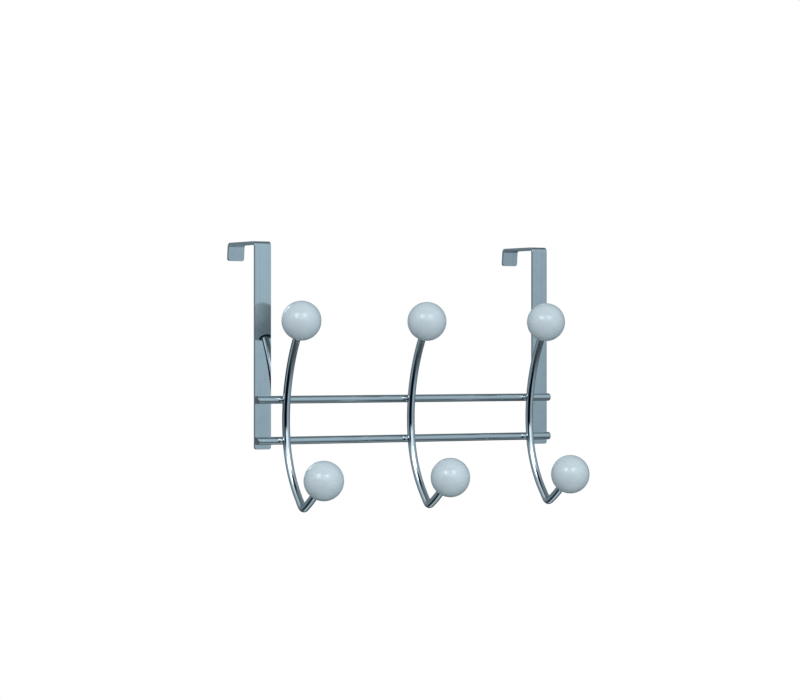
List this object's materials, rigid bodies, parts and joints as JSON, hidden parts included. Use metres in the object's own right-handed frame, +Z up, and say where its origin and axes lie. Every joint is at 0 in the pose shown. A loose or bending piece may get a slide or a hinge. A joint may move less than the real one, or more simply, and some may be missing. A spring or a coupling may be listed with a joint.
{
  "type": "over-door hook rack",
  "caption": "Hook rack that hangs over the top of a door on flat straps, with bowed wire hooks welded across round rods and a white ball knob on each hook end.",
  "frame": {"origin": "on the door's top front edge, midway between the two straps", "axes": "+X to the right of someone who faces the door, +Y into the door, +Z up"},
  "size_m": [0.267, 0.1249, 0.2039],
  "materials": {
    "chrome_plate": "polished",
    "white_knob": "glossy",
    "black_bush": "matt"
  },
  "bodies": {
    "root": {"left_strap": "chrome_plate", "left_strap_welds": "chrome_plate", "right_strap": "chrome_plate", "right_strap_welds": "chrome_plate", "upper_rod": "chrome_plate", "lower_rod": "chrome_plate", "left_hook": "chrome_plate", "left_hook_welds": "chrome_plate", "left_upper_knob": "white_knob", "left_upper_bush": "black_bush", "left_lower_knob": "white_knob", "left_lower_bush": "black_bush", "middle_hook": "chrome_plate", "middle_hook_welds": "chrome_plate", "middle_upper_knob": "white_knob", "middle_upper_bush": "black_bush", "middle_lower_knob": "white_knob", "middle_lower_bush": "black_bush", "right_hook": "chrome_plate", "right_hook_welds": "chrome_plate", "right_upper_knob": "white_knob", "right_upper_bush": "black_bush", "right_lower_knob": "white_knob", "right_lower_bush": "black_bush"}
  },
  "joints": []
}
